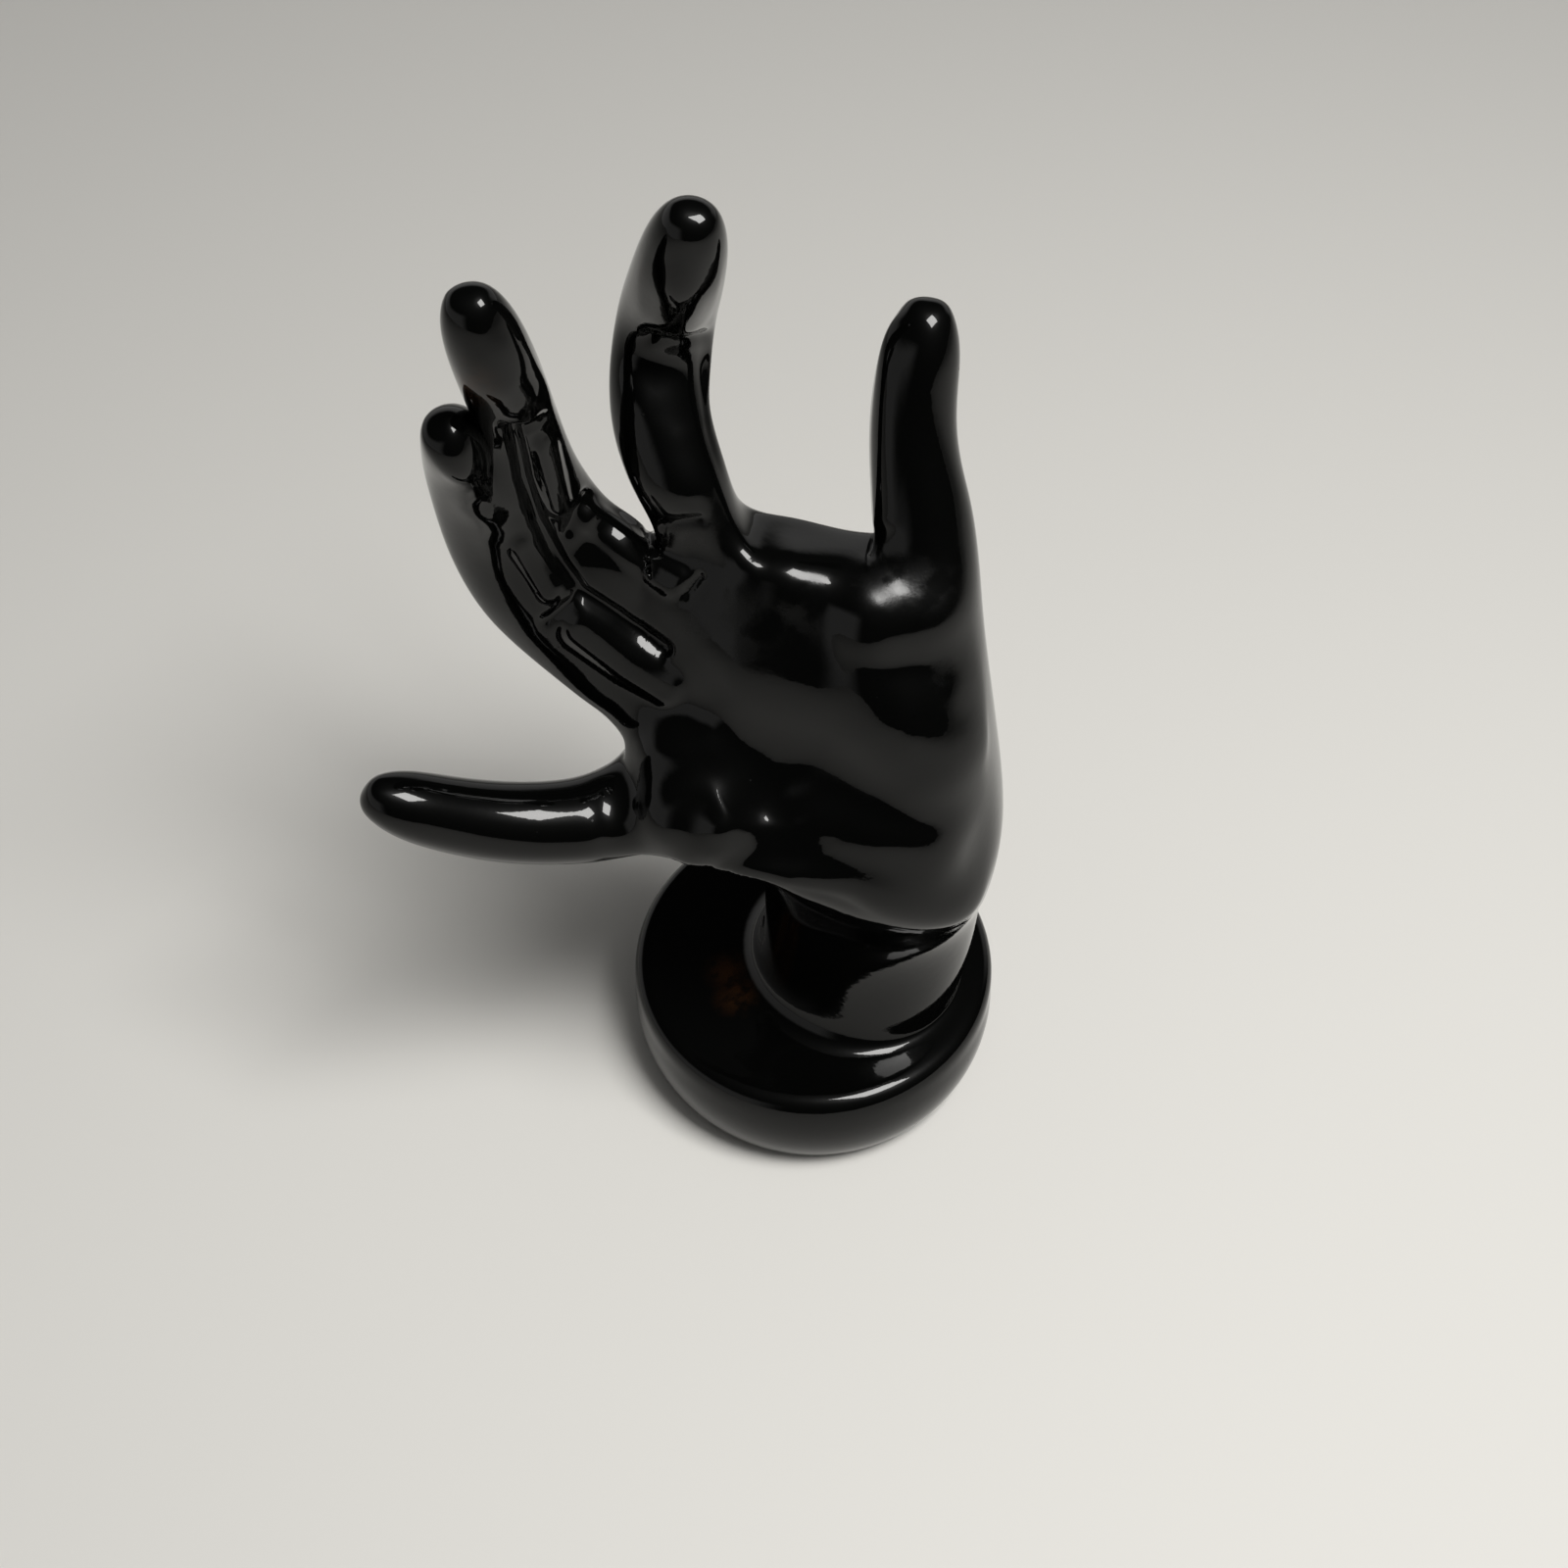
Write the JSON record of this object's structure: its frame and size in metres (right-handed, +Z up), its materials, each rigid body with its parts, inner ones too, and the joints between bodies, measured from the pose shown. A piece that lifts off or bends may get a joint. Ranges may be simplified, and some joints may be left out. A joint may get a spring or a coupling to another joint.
{
  "type": "hand jewelry stand",
  "caption": "Upright open right hand on a round puck base, glazed gloss black, that holds rings on its fingers and bracelets round its wrist.",
  "frame": {"origin": "middle of the round base's flat underside", "axes": "+Z up out of the base, -Y the way the palm faces, +X towards the thumb's side"},
  "size_m": [0.0821, 0.0558, 0.1393],
  "materials": {
    "black_glaze": "gloss black ceramic glaze"
  },
  "bodies": {
    "root": {"hand_stand": "black_glaze"}
  },
  "joints": []
}
